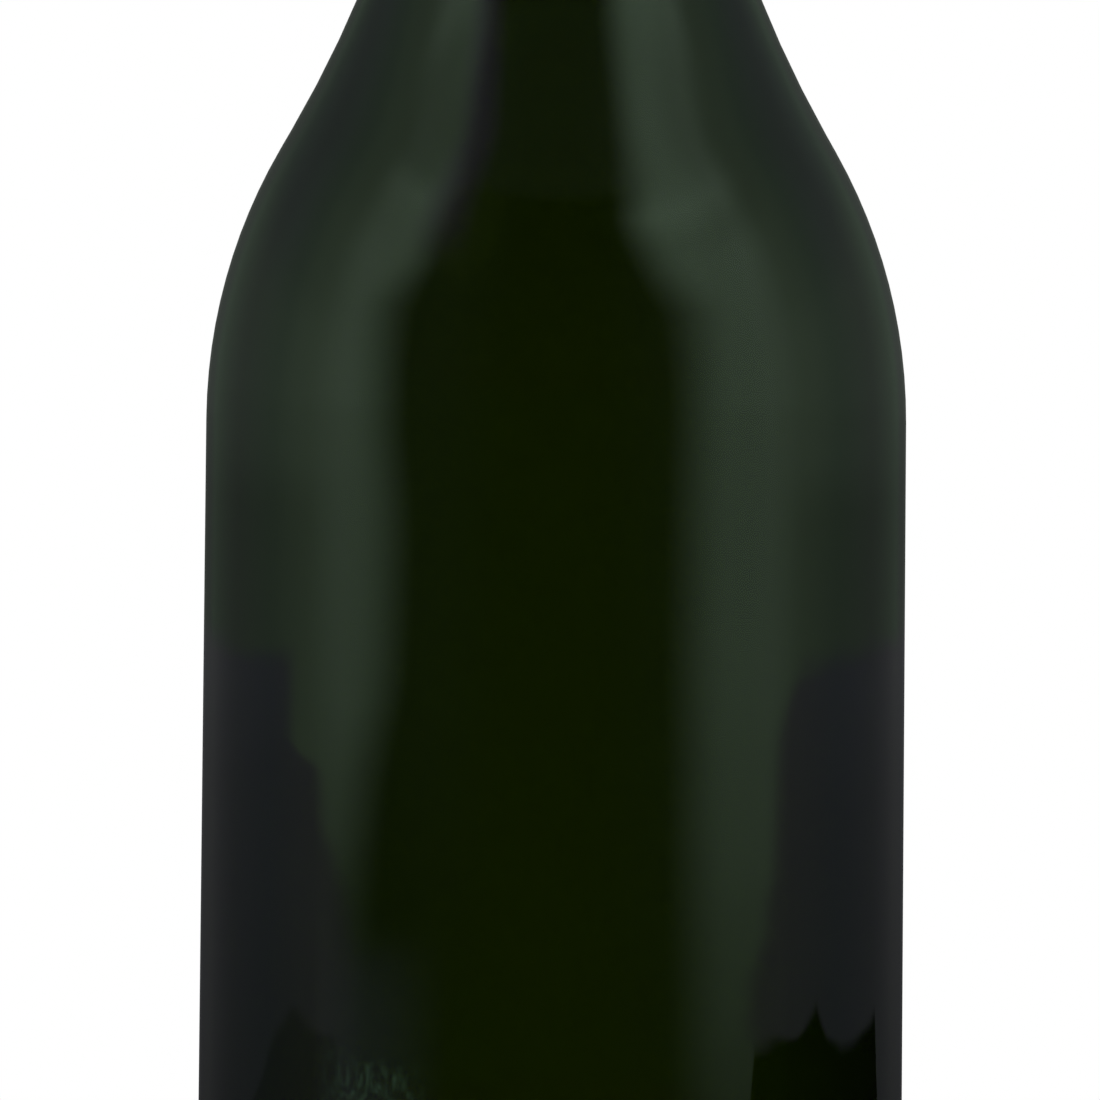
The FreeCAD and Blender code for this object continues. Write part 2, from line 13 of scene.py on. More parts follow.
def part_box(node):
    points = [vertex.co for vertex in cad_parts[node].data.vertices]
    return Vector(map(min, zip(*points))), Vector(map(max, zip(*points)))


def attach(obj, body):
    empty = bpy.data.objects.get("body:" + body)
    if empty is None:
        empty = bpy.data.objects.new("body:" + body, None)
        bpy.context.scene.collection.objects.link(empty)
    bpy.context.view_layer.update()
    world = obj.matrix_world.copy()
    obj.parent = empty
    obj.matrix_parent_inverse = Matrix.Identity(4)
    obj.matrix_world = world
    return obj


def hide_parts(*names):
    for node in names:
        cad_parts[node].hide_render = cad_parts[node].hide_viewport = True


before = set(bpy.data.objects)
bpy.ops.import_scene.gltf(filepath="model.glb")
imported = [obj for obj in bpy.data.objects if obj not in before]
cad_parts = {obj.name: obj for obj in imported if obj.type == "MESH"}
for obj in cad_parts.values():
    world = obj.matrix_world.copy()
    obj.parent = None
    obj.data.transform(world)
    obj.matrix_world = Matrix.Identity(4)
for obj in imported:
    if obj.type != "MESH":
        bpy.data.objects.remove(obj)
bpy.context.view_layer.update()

MM = 0.001
TAU = 2 * math.pi

# ---------------------------------------------------------------- sizes, in millimetres
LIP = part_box("glass")[1][2] / MM  # 300
BODY_RADIUS = 44.2
FOOT_SWELL = 0.3
HEEL_ARC = 8.0
SHOULDER_RISE = 109.7
SHOULDER_ARC = 69.0
SLOPE = 2.9
NECK_LENGTH = 57.0
NECK_RADIUS = 14.3
BODY_WALL = 4.1
NECK_WALL = 4.4
BASE_WALL = 8.3
VALLEY_ARC = 9.0
PUNT_DEPTH = 36.0
PUNT_ARC = 13.0
PUNT_ANGLE = math.radians(35)
PUNT_ROUND = 2.5
BORE_RADIUS = 8.9
BORE_LENGTH = 30.0
BORE_ARC = 20.0
RING_FOOT = LIP - 16.0
RING_TOP = RING_FOOT + 7.0
RING_RADIUS = 17.0
RING_SLOPE = 1.5
RING_ROUND = 1.3
GROOVE_RADIUS = 13.5
GROOVE_RISE = 1.2
BEAD_RADIUS = 14.6
BEAD_SLOPE = 0.8
LIP_ROUND = 2.2
BORE_ROUND = 0.8
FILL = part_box("wine")[1][2] / MM
CORK_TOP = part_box("cork")[1][2] / MM
CORK_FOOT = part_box("cork")[0][2] / MM
CORK_SEAT = 12.2  # radius of the cork where it comes out of the bore
CORK_RADIUS = 15.2
CORK_ROUND = 3.0
PLATE_SHEET = 0.35
PLATE_REACH = 0.8  # how far the plate stands out past the cork
BELT_HEIGHT = RING_FOOT - 3.2
BELT_RADIUS = 14.95
TOP_RING_RADIUS = 12.6
LEG_COUNT = 4
LEG_START = math.radians(45)
KEY_AZIMUTH = math.radians(-90)
KEY_STEM = 12.0
KEY_EYE_RADIUS = 3.0
KEY_EYE_RISE = 7.0
WIRE_BEND = 1.6

NECK_FOOT = LIP - NECK_LENGTH
SHOULDER = NECK_FOOT - SHOULDER_RISE


# ---------------------------------------------------------------- outlines
def rounded(corners, step=math.radians(3)):
    """Points along straight sides whose corners (x, z, radius) are rounded by arcs of that radius."""
    points = [Vector(c[:2]) for c in corners]
    path = [points[0]]
    for before, (x, z, radius), after in zip(points, corners[1:-1], points[2:]):
        corner = Vector((x, z))
        a, b = (before - corner).normalized(), (after - corner).normalized()
        angle = a.angle(b)
        turn = math.pi - angle
        if radius <= 0 or turn < 1e-4:
            path.append(corner)
            continue
        cut = radius * math.tan(turn / 2)
        centre = corner + (a + b).normalized() * (radius / math.cos(turn / 2))
        first = corner + a * cut - centre
        sign = math.copysign(1.0, a.x * b.y - a.y * b.x)
        count = max(3, math.ceil(turn / step))
        for i in range(count + 1):
            bend = -sign * turn * i / count
            c, s = math.cos(bend), math.sin(bend)
            path.append(centre + Vector((first.x * c - first.y * s, first.x * s + first.y * c)))
    path.append(points[-1])
    return path


def crossing(p, p_way, q, q_way):
    """Where two lines meet, each given by a point and a direction."""
    cross = p_way.x * q_way.y - p_way.y * q_way.x
    gap = q - p
    return p + p_way * ((gap.x * q_way.y - gap.y * q_way.x) / cross)


def side_corners(body, neck, shoulder_arc):
    """The two rounded corners of a bottle's side, for the outside or the inside."""
    lean = FOOT_SWELL / (SHOULDER - HEEL_ARC)
    across, rise = body - neck, SHOULDER_RISE + shoulder_arc * lean
    arcs = (across**2 + rise**2 - SLOPE**2) / (2 * across)
    angle = math.atan2(rise, arcs - across) - math.atan2(SLOPE, arcs)
    way = Vector((-math.sin(angle), math.cos(angle)))
    start = Vector((body - shoulder_arc, SHOULDER - shoulder_arc * lean))
    start += shoulder_arc * Vector((math.cos(angle), math.sin(angle)))
    body_way = Vector((-lean, 1.0))
    low = crossing(Vector((body, SHOULDER)), body_way, start, way)
    high = crossing(Vector((neck, 0.0)), Vector((0.0, 1.0)), start, way)
    return (low.x, low.y, shoulder_arc), (high.x, high.y, arcs - shoulder_arc)


def outside():
    """Corners from the top of the punt, round the foot and up to the mouth."""
    dome = PUNT_ARC * math.tan((math.pi / 2 - PUNT_ANGLE) / 2)
    rim = dome + PUNT_DEPTH * math.tan(PUNT_ANGLE)
    groove_foot = RING_TOP + RING_SLOPE
    groove_top = groove_foot + GROOVE_RISE
    return [
        (0.0, PUNT_DEPTH, 0),
        (dome, PUNT_DEPTH, PUNT_ARC),
        (rim, 0.0, PUNT_ROUND),
        (BODY_RADIUS + FOOT_SWELL, 0.0, HEEL_ARC),
        *side_corners(BODY_RADIUS, NECK_RADIUS, SHOULDER_ARC),
        (NECK_RADIUS, RING_FOOT - RING_SLOPE, 0.9),
        (RING_RADIUS, RING_FOOT, RING_ROUND),
        (RING_RADIUS, RING_TOP, RING_ROUND),
        (GROOVE_RADIUS, groove_foot, 0.6),
        (GROOVE_RADIUS, groove_top, 0.4),
        (BEAD_RADIUS, groove_top + BEAD_SLOPE, 0.5),
        (BEAD_RADIUS, LIP, LIP_ROUND),
        (BORE_RADIUS, LIP, BORE_ROUND),
    ]


def inside(bite=0.0):
    """Corners from the bore down to the dome over the punt. bite moves the surface into the glass."""
    body, neck = BODY_RADIUS - BODY_WALL + bite, NECK_RADIUS - NECK_WALL + bite
    arc = PUNT_ARC + BASE_WALL - bite
    apex = PUNT_DEPTH + BASE_WALL - bite
    dome = arc * math.tan((math.pi / 2 - PUNT_ANGLE) / 2)
    low, high = side_corners(body, neck, SHOULDER_ARC - BODY_WALL + bite)
    flank = Vector((math.sin(PUNT_ANGLE), -math.cos(PUNT_ANGLE)))
    lean = FOOT_SWELL / (SHOULDER - HEEL_ARC)
    toe = crossing(Vector((dome, apex)), flank, Vector((body, SHOULDER)), Vector((-lean, 1.0)))
    return [
        (neck, LIP - BORE_LENGTH, BORE_ARC),
        high,
        low,
        (toe.x, toe.y, VALLEY_ARC),
        (dome, apex, arc),
        (0.0, apex, 0),
    ]


# ---------------------------------------------------------------- mesh helpers
def new_object(name, verts, faces, material):
    mesh = bpy.data.meshes.new(name)
    mesh.from_pydata([Vector(v) * MM for v in verts], [], faces)
    mesh.polygons.foreach_set("use_smooth", [True] * len(mesh.polygons))
    mesh.materials.append(material)
    mesh.update()
    obj = bpy.data.objects.new(name, mesh)
    bpy.context.scene.collection.objects.link(obj)
    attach(obj, "root")
    return obj


def lathe(path, azimuths, shift=None):
    """Turns an outline that starts and ends on the axis. shift(x, z, azimuth) may move a point."""
    verts, faces, rows = [], [], []
    count = len(azimuths)
    for point in path:
        if abs(point.x) < 1e-6:
            rows.append([len(verts)] * count)
            verts.append((0.0, 0.0, point.y))
            continue
        rows.append(list(range(len(verts), len(verts) + count)))
        for azimuth in azimuths:
            x, z = shift(point.x, point.y, azimuth) if shift else (point.x, point.y)
            verts.append((x * math.cos(azimuth), x * math.sin(azimuth), z))
    for low, high in zip(rows, rows[1:]):
        for i in range(count):
            j = (i + 1) % count
            corners = [low[i], low[j], high[j], high[i]]
            face = [c for n, c in enumerate(corners) if c not in corners[:n]]
            if len(face) > 2:
                faces.append(face)
    return verts, faces


def even_turn(count):
    return [TAU * i / count for i in range(count)]


def split_long(path, longest):
    """Adds points so that no side of an outline is longer than a given length."""
    out = [path[0]]
    for a, b in zip(path, path[1:]):
        pieces = max(1, math.ceil((b - a).length / longest))
        out += [a.lerp(b, i / pieces) for i in range(1, pieces + 1)]
    return out


def tube(points, radius, sides=10, closed=False):
    """A round wire through 3-D points, with turned frames that don't twist."""
    count = len(points)
    ways = []
    for i, point in enumerate(points):
        before = points[(i - 1) % count] if closed or i else point
        after = points[(i + 1) % count] if closed or i < count - 1 else point
        ways.append((after - before).normalized())
    normal = ways[0].orthogonal().normalized()
    verts, faces = [], []
    for i, (point, way) in enumerate(zip(points, ways)):
        if i:
            normal = (ways[i - 1].rotation_difference(way) @ normal).normalized()
        normal = (normal - way * normal.dot(way)).normalized()
        side = way.cross(normal)
        for k in range(sides):
            turn = TAU * k / sides
            verts.append(point + (normal * math.cos(turn) + side * math.sin(turn)) * radius)
    for i in range(count if closed else count - 1):
        j = (i + 1) % count
        for k in range(sides):
            m = (k + 1) % sides
            faces.append((i * sides + k, i * sides + m, j * sides + m, j * sides + k))
    if not closed:
        faces.append(tuple(range(sides))[::-1])
        faces.append(tuple((count - 1) * sides + k for k in range(sides)))
    return verts, faces


def join(parts):
    """Several meshes as one."""
    verts, faces = [], []
    for part_verts, part_faces in parts:
        base = len(verts)
        verts += part_verts
        faces += [tuple(base + i for i in face) for face in part_faces]
    return verts, faces


# ---------------------------------------------------------------- node helpers
class Nodes:
    """Short calls for building a node tree."""

    def __init__(self, tree):
        self.tree = tree
        tree.nodes.clear()

    def add(self, kind, **settings):
        node = self.tree.nodes.new(kind)
        for key, value in settings.items():
            setattr(node, key, value)
        return node

    def link(self, source, target):
        """Links an output to a socket, or sets the socket to a number or a colour."""
        if isinstance(source, (int, float, tuple)):
            target.default_value = source
        else:
            self.tree.links.new(source, target)

    def math(self, operation, a, b=0.0, c=0.0, clamp=False):
        node = self.add("ShaderNodeMath", operation=operation, use_clamp=clamp)
        for value, socket in zip((a, b, c), node.inputs):
            self.link(value, socket)
        return node.outputs[0]

    def ramp(self, value, stops, mode="LINEAR"):
        node = self.add("ShaderNodeValToRGB")
        self.link(value, node.inputs[0])
        elements = node.color_ramp.elements
        node.color_ramp.interpolation = mode
        while len(elements) > 1:
            elements.remove(elements[-1])
        for i, (place, colour) in enumerate(stops):
            element = elements[0] if i == 0 else elements.new(place)
            element.position = place
            element.color = (*colour, 1.0) if len(colour) == 3 else colour
        return node.outputs["Color"]

    def step(self, value, low, high, to_low=0.0, to_high=1.0):
        """A smooth step from one value to another between two places."""
        node = self.add("ShaderNodeMapRange", interpolation_type="SMOOTHSTEP")
        for number, item in enumerate((value, low, high, to_low, to_high)):
            self.link(item, node.inputs[number])
        return node.outputs[0]

    def table(self, value, stops):
        """A number read off straight lines between (place, number) stops, held flat past both ends."""
        first, last = stops[0][0], stops[-1][0]
        top = max(number for _, number in stops)
        node = self.add("ShaderNodeMapRange")
        for number, item in enumerate((value, first, last)):
            self.link(item, node.inputs[number])
        greys = [((place - first) / (last - first), (number / top,) * 3) for place, number in stops]
        return self.math("MULTIPLY", self.ramp(node.outputs[0], greys), top)

    def choose(self, factor, when_true, when_false):
        """One of two numbers."""
        node = self.add("ShaderNodeMix", data_type="FLOAT")
        for number, item in enumerate((factor, when_false, when_true)):
            self.link(item, node.inputs[("Factor", 2, 3)[number]])
        return node.outputs[0]

    def scaled(self, colour, factor):
        """A colour made brighter or darker by a factor."""
        node = self.add("ShaderNodeVectorMath", operation="SCALE")
        self.link(colour, node.inputs[0])
        self.link(factor, node.inputs["Scale"])
        return node.outputs[0]

    def added(self, first, *others):
        """The sum of colours or numbers."""
        for other in others:
            node = self.add("ShaderNodeVectorMath", operation="ADD")
            self.link(first, node.inputs[0])
            self.link(other, node.inputs[1])
            first = node.outputs[0]
        return first

    def tinted(self, colour, factor):
        """A factor from 0 to 1 as a share of a colour."""
        return self.mix(factor, (0, 0, 0, 1), (*colour, 1))

    def mix(self, factor, a, b):
        node = self.add("ShaderNodeMix", data_type="RGBA")
        self.link(factor, node.inputs["Factor"])
        for value, socket in ((a, node.inputs[6]), (b, node.inputs[7])):
            self.link(value, socket)
        return node.outputs[2]

    def noise(self, vector, scale, detail=2.0, roughness=0.5):
        node = self.add("ShaderNodeTexNoise")
        self.link(vector, node.inputs["Vector"])
        node.inputs["Scale"].default_value = scale
        node.inputs["Detail"].default_value = detail
        node.inputs["Roughness"].default_value = roughness
        return node.outputs["Fac"]

    def place(self):
        return self.add("ShaderNodeTexCoord").outputs["Object"]

    def bump(self, height, distance, strength=1.0, normal=None):
        node = self.add("ShaderNodeBump")
        node.inputs["Strength"].default_value = strength
        node.inputs["Distance"].default_value = distance
        self.link(height, node.inputs["Height"])
        if normal is not None:
            self.link(normal, node.inputs["Normal"])
        return node.outputs[0]


def material(name):
    made = bpy.data.materials.new(name)
    made.use_nodes = True
    n = Nodes(made.node_tree)
    out = n.add("ShaderNodeOutputMaterial")
    shader = n.add("ShaderNodeBsdfPrincipled")
    n.link(shader.outputs[0], out.inputs["Surface"])
    return made, n, shader, out


# ---------------------------------------------------------------- materials
def glass_material():
    """Glass that lets dark green through and takes all blue. Its mirror images are a little green too."""
    made, n, shader, out = material("dark green bottle glass")
    shader.inputs["Base Color"].default_value = (1, 1, 1, 1)
    shader.inputs["Roughness"].default_value = 0.0
    shader.inputs["IOR"].default_value = 1.52
    shader.inputs["Transmission Weight"].default_value = 1.0
    shader.inputs["Specular Tint"].default_value = (0.73, 1.0, 0.75, 1)
    wave = n.noise(n.place(), 55.0, 2.0, 0.4)
    n.link(n.bump(wave, 0.00002), shader.inputs["Normal"])
    volume = n.add("ShaderNodeVolumeAbsorption")
    volume.inputs["Color"].default_value = (0.447, 0.525, 0.0, 1)
    volume.inputs["Density"].default_value = 980.0
    n.link(volume.outputs[0], out.inputs["Volume"])
    return made


def wine_material():
    made, n, shader, out = material("pale gold wine")
    shader.inputs["Base Color"].default_value = (1, 1, 1, 1)
    shader.inputs["Roughness"].default_value = 0.0
    shader.inputs["IOR"].default_value = 1.34
    shader.inputs["Transmission Weight"].default_value = 1.0
    volume = n.add("ShaderNodeVolumeAbsorption")
    volume.inputs["Color"].default_value = (0.93, 0.80, 0.30, 1)
    volume.inputs["Density"].default_value = 9.0
    n.link(volume.outputs[0], out.inputs["Volume"])
    return made


def cork_material():
    """Granules of cork pressed together: each has its own brown, with dark specks of bark between them."""
    made, n, shader, out = material("agglomerated cork")
    place = n.place()
    warp = n.add("ShaderNodeTexNoise")
    n.link(place, warp.inputs["Vector"])
    warp.inputs["Scale"].default_value = 420.0
    warp.inputs["Detail"].default_value = 3.0
    moved = n.add("ShaderNodeVectorMath", operation="MULTIPLY_ADD")
    n.link(warp.outputs["Color"], moved.inputs[0])
    moved.inputs[1].default_value = (0.0022, 0.0022, 0.0022)
    n.link(place, moved.inputs[2])
    cells = n.add("ShaderNodeTexVoronoi", feature="F1")
    edges = n.add("ShaderNodeTexVoronoi", feature="DISTANCE_TO_EDGE")
    for texture in (cells, edges):
        texture.inputs["Scale"].default_value = 430.0
        n.link(moved.outputs[0], texture.inputs["Vector"])
    split = n.add("ShaderNodeSeparateColor")
    n.link(cells.outputs["Color"], split.inputs[0])
    granule = n.ramp(
        split.outputs[0],
        [
            (0.0, (0.33, 0.19, 0.095)),
            (0.12, (0.50, 0.32, 0.17)),
            (0.55, (0.60, 0.41, 0.235)),
            (1.0, (0.68, 0.49, 0.305)),
        ],
    )
    fine = n.noise(place, 2600.0, 4.0, 0.65)
    mottle = n.step(fine, 0.42, 0.68, 0.0, 0.45)
    granule = n.mix(mottle, granule, (0.36, 0.22, 0.115, 1))
    seam = n.step(edges.outputs["Distance"], 0.0, 0.05, 1.0, 0.0)
    broken = n.step(n.noise(place, 700.0, 2.0), 0.40, 0.62)
    specks = n.step(n.noise(place, 1100.0, 3.0, 0.6), 0.64, 0.70)
    dark = n.math("MAXIMUM", n.math("MULTIPLY", n.math("MULTIPLY", seam, broken), 0.55), specks)
    n.link(n.mix(n.math("MULTIPLY", dark, 0.85), granule, (0.15, 0.08, 0.04, 1)), shader.inputs["Base Color"])
    shader.inputs["Roughness"].default_value = 0.85
    shader.inputs["Specular IOR Level"].default_value = 0.25
    height = n.math("ADD", n.math("MULTIPLY", dark, -1.0), n.math("MULTIPLY", fine, 0.5))
    n.link(n.bump(height, 0.0003), shader.inputs["Normal"])
    return made


def metal_material(name, colour, roughness, scratch):
    """Slightly cloudy metal with fine scratches of the given depth in metres."""
    made, n, shader, out = material(name)
    place = n.place()
    cloud = n.noise(place, 260.0, 3.0, 0.6)
    darker = tuple(c * 0.78 for c in colour)
    n.link(n.mix(cloud, (*darker, 1), (*colour, 1)), shader.inputs["Base Color"])
    shader.inputs["Metallic"].default_value = 1.0
    rough = n.math("MULTIPLY_ADD", n.noise(place, 900.0, 2.0), 0.16, roughness - 0.08)
    n.link(rough, shader.inputs["Roughness"])
    n.link(n.bump(n.noise(place, 3200.0, 2.0), scratch), shader.inputs["Normal"])
    return made


# ---------------------------------------------------------------- glass
SEAM_HEIGHT = 0.07
SEAM_WIDTH = math.radians(0.55)
KNURLS = 90
KNURL_DEPTH = 0.28
KNURL_RADIUS = 35.2  # where on the foot ring they are deepest
KNURL_REACH = 2.4
WALL_COLUMNS = 360


def glass_azimuths():
    """Even columns, and finer ones over the two mould seams."""
    columns = even_turn(WALL_COLUMNS)
    fine = [side + SEAM_WIDTH * share for side in (0.0, math.pi) for share in (-1.0, -0.5, 0.5, 1.0)]
    return sorted(a % TAU for a in columns + fine)


def glass_shift(x, z, azimuth):
    """Raises the two mould seams and cuts the knurls of the bearing ring."""
    off = min(abs((azimuth + math.pi / 2) % math.pi - math.pi / 2), SEAM_WIDTH)
    seam = SEAM_HEIGHT * 0.5 * (1 + math.cos(math.pi * off / SEAM_WIDTH))
    outer = x > NECK_RADIUS - 0.2 and HEEL_ARC / 2 < z < RING_FOOT - 2
    if outer:
        x += seam
    on_foot = z < 0.4 and x > 33
    if on_foot:
        wave = 0.5 - 0.5 * math.cos(azimuth * KNURLS)
        fade = max(0.0, 1 - abs(x - KNURL_RADIUS) / KNURL_REACH)
        z += KNURL_DEPTH * wave * fade
    return x, z


def make_glass(look):
    path = split_long(rounded(outside() + inside(), step=math.radians(2.5)), 12.0)
    verts, faces = lathe(path, glass_azimuths(), glass_shift)
    bottle = new_object("bottle_glass", verts, faces, look)
    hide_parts("glass")


# ---------------------------------------------------------------- wine
WINE_BITE = 0.08
MENISCUS_RISE = 0.48
MENISCUS_REACH = 1.8


def wine_outline():
    """The inside of the bottle below the level, a little into the wall, with a meniscus at its edge."""
    wall = split_long(rounded(inside(WINE_BITE), step=math.radians(3)), 6.0)
    below = [p for p in wall if p.y < FILL - 0.01]
    rim = next(a.lerp(b, (FILL - a.y) / (b.y - a.y)) for a, b in zip(wall, wall[1:]) if b.y < FILL <= a.y)
    level = FILL - MENISCUS_RISE
    surface = [Vector((0.0, level))]
    for i in range(1, 12):
        x = rim.x * i / 12
        surface.append(Vector((x, level + MENISCUS_RISE * math.exp((x - rim.x) / MENISCUS_REACH))))
    return surface + [rim] + below


def make_wine(look):
    verts, faces = lathe(wine_outline(), even_turn(144))
    wine = new_object("wine_fill", verts, faces, look)
    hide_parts("wine")


# ---------------------------------------------------------------- cork
def cork_shift(x, z, azimuth):
    """Makes the cork's head slightly uneven."""
    if z > LIP + 1:
        spot = Vector((x * math.cos(azimuth), x * math.sin(azimuth), z)) * 0.35
        x += 0.10 * noise.noise(spot)
    return x, z


def make_cork(look):
    bore = BORE_RADIUS + (NECK_RADIUS - NECK_WALL - BORE_RADIUS) * (LIP - CORK_FOOT) / BORE_LENGTH
    corners = [
        (0.0, CORK_FOOT, 0),
        (bore, CORK_FOOT, 0.8),
        (BORE_RADIUS, LIP, 0.0),
        (CORK_SEAT, LIP, 0.6),
        (CORK_SEAT + 1.4, LIP + 2.2, 4.0),
        (CORK_RADIUS - 0.1, LIP + 6.5, 9.0),
        (CORK_RADIUS - 0.2, CORK_TOP, CORK_ROUND),
        (0.0, CORK_TOP, 0),
    ]
    path = split_long(rounded(corners, step=math.radians(6)), 1.2)
    verts, faces = lathe(path, even_turn(180), cork_shift)
    cork = new_object("cork_stopper", verts, faces, look)
    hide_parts("cork")


# ---------------------------------------------------------------- cap plate
DOME_RADIUS = 10.2
DOME_RISE = 1.1
STEP_REACH = 0.6
PRESSED_INNER = 4.2  # the pressed ring round the dome's middle
PRESSED_OUTER = 9.8
PRESSED_SLOPE = 0.4
PRESSED_DEPTH = 0.2
SKIRT_START = 13.8
SKIRT_REACH = 1.95
NOTCH_START = 14.4
NOTCH_DEPTH = 0.35
NOTCH_WIDTH = 1.3


def plate_shift(x, z, azimuth):
    """Small notches in the skirt where the four legs come over it."""
    turn = (azimuth - LEG_START) % (TAU / LEG_COUNT)
    off = min(turn, TAU / LEG_COUNT - turn) * x
    if x > NOTCH_START:
        x -= NOTCH_DEPTH * math.exp(-(off / NOTCH_WIDTH) ** 2) * min(1.0, (x - NOTCH_START) / 1.2)
    return x, z


def make_plate(look):
    """A stamped disc: a dome with a pressed ring, a flat that lies on the cork, and a skirt."""
    low = CORK_TOP
    dome = low + DOME_RISE
    pressed = dome - PRESSED_DEPTH
    skirt_end = SKIRT_START + SKIRT_REACH
    under = [
        (0.0, dome, 0),
        (PRESSED_INNER, dome, 0.3),
        (PRESSED_INNER + PRESSED_SLOPE, pressed, 0.3),
        (PRESSED_OUTER - PRESSED_SLOPE, pressed, 0.3),
        (PRESSED_OUTER, dome, 0.3),
        (DOME_RADIUS, dome, 0.4),
        (DOME_RADIUS + STEP_REACH, low, 0.4),
        (SKIRT_START, low, 1.2),
        (skirt_end, low - SKIRT_REACH, 0.4),
        (skirt_end + 0.2, low - SKIRT_REACH - 0.2, 0),
    ]
    path = rounded(under, step=math.radians(12))
    # The upper side lies one sheet above, along the outline's normal.
    upper = []
    for i, p in enumerate(path):
        a, b = path[max(0, i - 1)], path[min(len(path) - 1, i + 1)]
        way = (b - a).normalized()
        upper.append(p + Vector((-way.y, way.x)) * PLATE_SHEET)
    upper[0].x = 0.0
    outline = split_long(upper + path[::-1], 0.8)
    verts, faces = lathe(outline, even_turn(240), plate_shift)
    plate = new_object("cap_disc", verts, faces, look)
    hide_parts("cap_plate")


# ---------------------------------------------------------------- wire cage
WIRE = 0.5  # radius of the belt and top ring wire
STRAND = 0.45  # radius of each of the two strands of a leg
KEY_STRAND = 0.5
LEG_PITCH = 5.6  # length of one full turn of the twist
KEY_PITCH = 4.2
LEG_GAP = 1.0  # from a leg's middle to the ring and the plate that it passes
LEG_SLANT = 2.4
KEY_GAP = 1.05


def at(azimuth, radius, height, across=0.0):
    """A point by its azimuth, its distance from the axis, its height and a step sideways."""
    c, s = math.cos(azimuth), math.sin(azimuth)
    return Vector((radius * c - across * s, radius * s + across * c, height))


def resample(path, spacing):
    """Evenly spaced points along a 2-D path, with the distance run at each."""
    lengths = [0.0]
    for a, b in zip(path, path[1:]):
        lengths.append(lengths[-1] + (b - a).length)
    count = max(2, round(lengths[-1] / spacing))
    out, k = [], 0
    for i in range(count + 1):
        run = lengths[-1] * i / count
        while k < len(path) - 2 and lengths[k + 1] < run:
            k += 1
        span = lengths[k + 1] - lengths[k]
        out.append((path[k].lerp(path[k + 1], (run - lengths[k]) / span if span else 0.0), run))
    return out


def twisted(path, azimuth, pitch, strand):
    """Two strands twisted round a path that lies in the plane of one azimuth."""
    spots = resample(path, 0.35)
    strands = ([], [])
    for i, (spot, run) in enumerate(spots):
        a, b = spots[max(0, i - 1)][0], spots[min(len(spots) - 1, i + 1)][0]
        way = (b - a).normalized()
        for number, strand_points in enumerate(strands):
            turn = TAU * run / pitch + math.pi * number
            out = Vector((-way.y, way.x)) * math.cos(turn) * strand
            strand_points.append(at(azimuth, spot.x + out.x, spot.y + out.y, math.sin(turn) * strand))
    return [tube(points, strand * 0.98, 8) for points in strands]


def hoop(radius, height, wire, uneven=0.0):
    """A closed ring of wire, which may rise and fall a little along its way."""
    points = []
    for turn in even_turn(144):
        lift = uneven * math.sin(3 * turn + 1.0) + uneven * 0.6 * math.sin(5 * turn)
        points.append(at(turn, radius, height + lift))
    return tube(points, wire, 12, closed=True)


def leg_path():
    """Out from the belt under the ring, up past the ring and the plate, and in to the top ring."""
    reach_low = RING_RADIUS + LEG_GAP
    reach_high = CORK_RADIUS + PLATE_REACH + PLATE_SHEET + LEG_GAP
    top = CORK_TOP + PLATE_SHEET + LEG_GAP
    corners = [
        (BELT_RADIUS + 0.6, BELT_HEIGHT, 0),
        (reach_low, BELT_HEIGHT, WIRE_BEND),
        (reach_low, RING_TOP, 8.0),
        (reach_high, top - LEG_SLANT, WIRE_BEND),
        (reach_high - LEG_SLANT, top, WIRE_BEND),
        (TOP_RING_RADIUS, top, 0),
    ]
    return rounded(corners, step=math.radians(8))


def leg_hook(azimuth):
    """The end of a strand, bent round the belt wire."""
    points = []
    for i in range(17):
        turn = math.radians(-150 + 300 * i / 16)
        reach = WIRE + STRAND
        out = BELT_RADIUS + 0.15 + reach * math.cos(turn) * 0.9
        points.append(at(azimuth, out, BELT_HEIGHT + reach * math.sin(turn)))
    return tube(points, STRAND * 0.95, 8)


def key_parts():
    """The belt's two ends, twisted into a stem that is folded up past the ring and ends in a long eye."""
    reach = RING_RADIUS + KEY_GAP
    foot = BELT_HEIGHT + KEY_STEM
    stem = rounded(
        [(BELT_RADIUS + 0.3, BELT_HEIGHT, 0), (reach, BELT_HEIGHT, WIRE_BEND), (reach, foot - 0.6, 0)],
        step=math.radians(8),
    )
    low = foot + KEY_EYE_RADIUS
    eye = []
    for start, centre in ((0.0, low + KEY_EYE_RISE), (math.pi, low)):
        for i in range(25):
            turn = start + math.pi * i / 24
            across, rise = KEY_EYE_RADIUS * math.cos(turn), KEY_EYE_RADIUS * math.sin(turn)
            eye.append(at(KEY_AZIMUTH, reach, centre + rise, -across))
    return twisted(stem, KEY_AZIMUTH, KEY_PITCH, KEY_STRAND) + [tube(eye, KEY_STRAND, 10, closed=True)]


def make_cage(look):
    legs = []
    for turn in even_turn(LEG_COUNT):
        legs += twisted(leg_path(), LEG_START + turn, LEG_PITCH, STRAND)
        legs.append(leg_hook(LEG_START + turn))
    named = {
        "cage_legs": join(legs),
        "cage_belt": hoop(BELT_RADIUS, BELT_HEIGHT, WIRE, 0.04),
        "cage_top_ring": hoop(TOP_RING_RADIUS, CORK_TOP + PLATE_SHEET + WIRE + 0.1, WIRE),
        "cage_key": join(key_parts()),
    }
    for name, (verts, faces) in named.items():
        piece = new_object(name, verts, faces, look)
        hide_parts("wire_cage")


